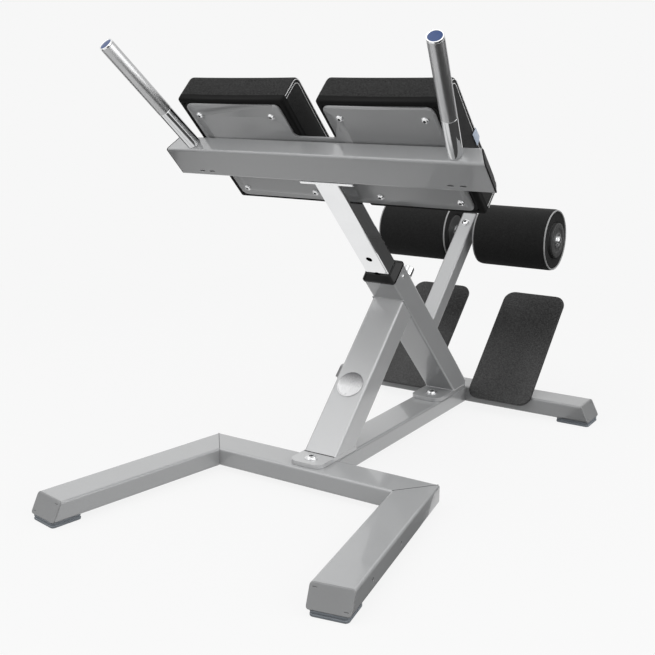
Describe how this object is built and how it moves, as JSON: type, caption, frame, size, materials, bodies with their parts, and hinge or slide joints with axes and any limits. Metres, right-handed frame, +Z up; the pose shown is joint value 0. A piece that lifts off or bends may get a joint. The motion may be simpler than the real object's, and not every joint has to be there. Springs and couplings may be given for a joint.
{
  "type": "hyperextension bench",
  "caption": "Inclined back-extension bench: split thigh pads and handles on a sliding post, ankle rollers and foot plates, on a splayed tube base.",
  "frame": {"origin": "on the floor, under the middle of the bench's length and width", "axes": "+X across the bench, +Y from the open legs to the rear cross tube, +Z up"},
  "size_m": [0.75, 1.341, 0.9164],
  "materials": {
    "silver_paint": "silver powder coat, semi-gloss",
    "plate_paint": "grey powder coat, semi-gloss",
    "polished_steel": "polished plating",
    "knob_metal": "turned and polished",
    "handle_steel": "satin, knurled over the upper part",
    "handle_disc": "plain blue disc in a bright ring",
    "fastener": "bright zinc",
    "badge_metal": "satin, bare",
    "collar_plastic": "moulded, matt black",
    "cap_plastic": "moulded, grey",
    "hub_plastic": "moulded, dark grey",
    "foot_rubber": "matt, blue-grey",
    "pad_cover": "fine-grained artificial leather, charcoal",
    "roller_cover": "artificial leather, black",
    "grip_coat": "grainy anti-slip surface",
    "board": "black-stained plywood"
  },
  "bodies": {
    "frame": {"front_crossbar": "silver_paint", "left_front_leg": "silver_paint", "right_front_leg": "silver_paint", "spine_tube": "silver_paint", "rear_cross_tube": "silver_paint", "front_strut": "silver_paint", "outer_column": "silver_paint", "roller_arm": "silver_paint", "left_front_end_cap": "cap_plastic", "left_rear_end_cap": "cap_plastic", "left_front_foot": "foot_rubber", "left_rear_foot": "foot_rubber", "left_foot_plate": "grip_coat", "left_axle_end_bolt": "fastener", "right_front_end_cap": "cap_plastic", "right_rear_end_cap": "cap_plastic", "right_front_foot": "foot_rubber", "right_rear_foot": "foot_rubber", "right_foot_plate": "grip_coat", "right_axle_end_bolt": "fastener", "front_base_bolt": "fastener", "rear_base_bolt": "fastener", "axle_bolt": "fastener", "badge": "badge_metal", "column_collar": "collar_plastic", "lock_housing": "fastener", "lock_spring": "fastener", "arm_end_plug": "collar_plastic", "roller_axle": "polished_steel"},
    "carriage": {"inner_tube": "polished_steel", "inner_tube_glide": "collar_plastic", "flange_plate": "plate_paint", "top_beam": "silver_paint", "left_beam_cap": "cap_plastic", "right_beam_cap": "cap_plastic", "pad_plate": "plate_paint", "left_pad_screw_1": "fastener", "left_pad_screw_2": "fastener", "left_pad_screw_3": "fastener", "left_pad_screw_4": "fastener", "left_pad_board": "board", "left_thigh_pad": "pad_cover", "left_handle": "handle_steel", "left_handle_cap": "handle_disc", "right_pad_screw_1": "fastener", "right_pad_screw_2": "fastener", "right_pad_screw_3": "fastener", "right_pad_screw_4": "fastener", "right_pad_board": "board", "right_thigh_pad": "pad_cover", "right_handle": "handle_steel", "right_handle_cap": "handle_disc"},
    "lock": {"lock_pin": "polished_steel", "lock_knob": "knob_metal"},
    "left_roller": {"left_roller_core": "hub_plastic", "left_roller_hub": "hub_plastic", "left_roller_pad": "roller_cover"},
    "right_roller": {"right_roller_core": "hub_plastic", "right_roller_hub": "hub_plastic", "right_roller_pad": "roller_cover"}
  },
  "joints": [
    {"name": "carriage_slide", "type": "slide", "parent": "frame", "child": "carriage", "axis": [0, -0.6959, 0.7181], "range_m": [-0.165, 0.055]},
    {"name": "lock_pull", "type": "slide", "parent": "frame", "child": "lock", "axis": [0, -0.7181, -0.6959], "range_m": [0, 0.012]},
    {"name": "left_roller_spin", "type": "hinge", "parent": "frame", "child": "left_roller", "pos_m": [-0.13675, 0.53276, 0.44748], "axis": [1, 0, 0], "continuous": true},
    {"name": "right_roller_spin", "type": "hinge", "parent": "frame", "child": "right_roller", "pos_m": [0.13675, 0.53276, 0.44748], "axis": [1, 0, 0], "continuous": true}
  ]
}
